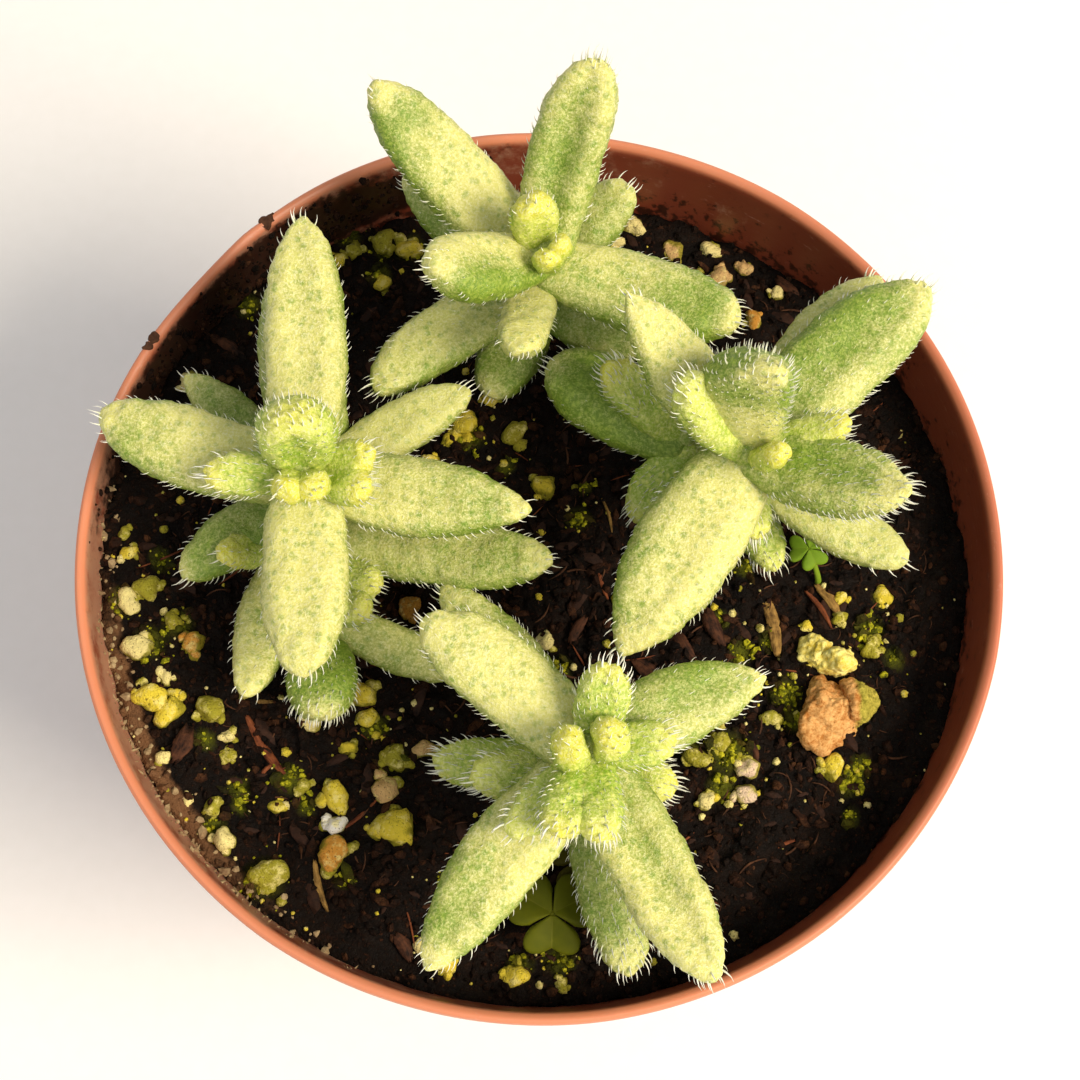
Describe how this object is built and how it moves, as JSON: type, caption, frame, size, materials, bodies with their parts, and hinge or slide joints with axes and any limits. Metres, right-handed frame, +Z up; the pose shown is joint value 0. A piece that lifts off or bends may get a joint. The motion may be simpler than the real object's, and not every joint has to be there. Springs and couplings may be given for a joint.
{
  "type": "potted variegated pickle plant",
  "caption": "Short bristly plantlets with fat, blunt, variegated leaves, standing in gritty soil in a round tapered nursery pot.",
  "frame": {"origin": "centre of the pot's flat foot, on the surface it stands on", "axes": "+Z up the pot's axis, +Y towards the back of the pot as seen by the viewer, +X to the viewer's right"},
  "size_m": [0.09, 0.09, 0.1033],
  "materials": {
    "pot": "satin",
    "soil": "matte",
    "pumice": "matte",
    "shoot": "satin",
    "leaf": "satin",
    "shaded_leaf": "satin",
    "clover": "matte"
  },
  "bodies": {
    "root": {"pot": "pot", "soil": "soil", "pumice_back": "pumice", "pumice_front": "pumice", "clover_front": "clover", "clover_middle": "clover", "clover_right": "clover", "left_shoot": "shoot", "left_leaf_north": "leaf", "left_leaf_south": "leaf", "left_leaf_west": "leaf", "left_leaf_east": "leaf", "left_leaf_low_east": "shaded_leaf", "left_leaf_low_north": "shaded_leaf", "left_leaf_low_northeast": "shaded_leaf", "left_leaf_low_southwest": "shaded_leaf", "left_leaf_low_northwest": "shaded_leaf", "left_leaf_branch_southwest": "leaf", "left_leaf_branch_southeast": "leaf", "left_leaf_branch_end": "leaf", "back_shoot": "shoot", "back_leaf_northeast": "leaf", "back_leaf_northwest": "leaf", "back_leaf_west": "leaf", "back_leaf_east": "leaf", "back_leaf_south": "leaf", "back_leaf_low_northeast": "shaded_leaf", "back_leaf_low_southwest": "shaded_leaf", "back_leaf_low_northwest": "shaded_leaf", "back_leaf_low_southeast": "shaded_leaf", "back_leaf_lowest_southwest": "shaded_leaf", "right_shoot": "shoot", "right_leaf_erect": "leaf", "right_leaf_northwest": "leaf", "right_leaf_southeast": "leaf", "right_leaf_northeast": "leaf", "right_leaf_southwest": "leaf", "right_leaf_low_northeast": "shaded_leaf", "right_leaf_low_southeast": "shaded_leaf", "right_leaf_branch_west": "leaf", "front_shoot": "shoot", "front_leaf_northwest": "leaf", "front_leaf_northeast": "leaf", "front_leaf_southeast": "leaf", "front_leaf_southwest": "leaf", "front_leaf_low_northwest": "shaded_leaf", "front_leaf_low_south": "shaded_leaf"}
  },
  "joints": []
}
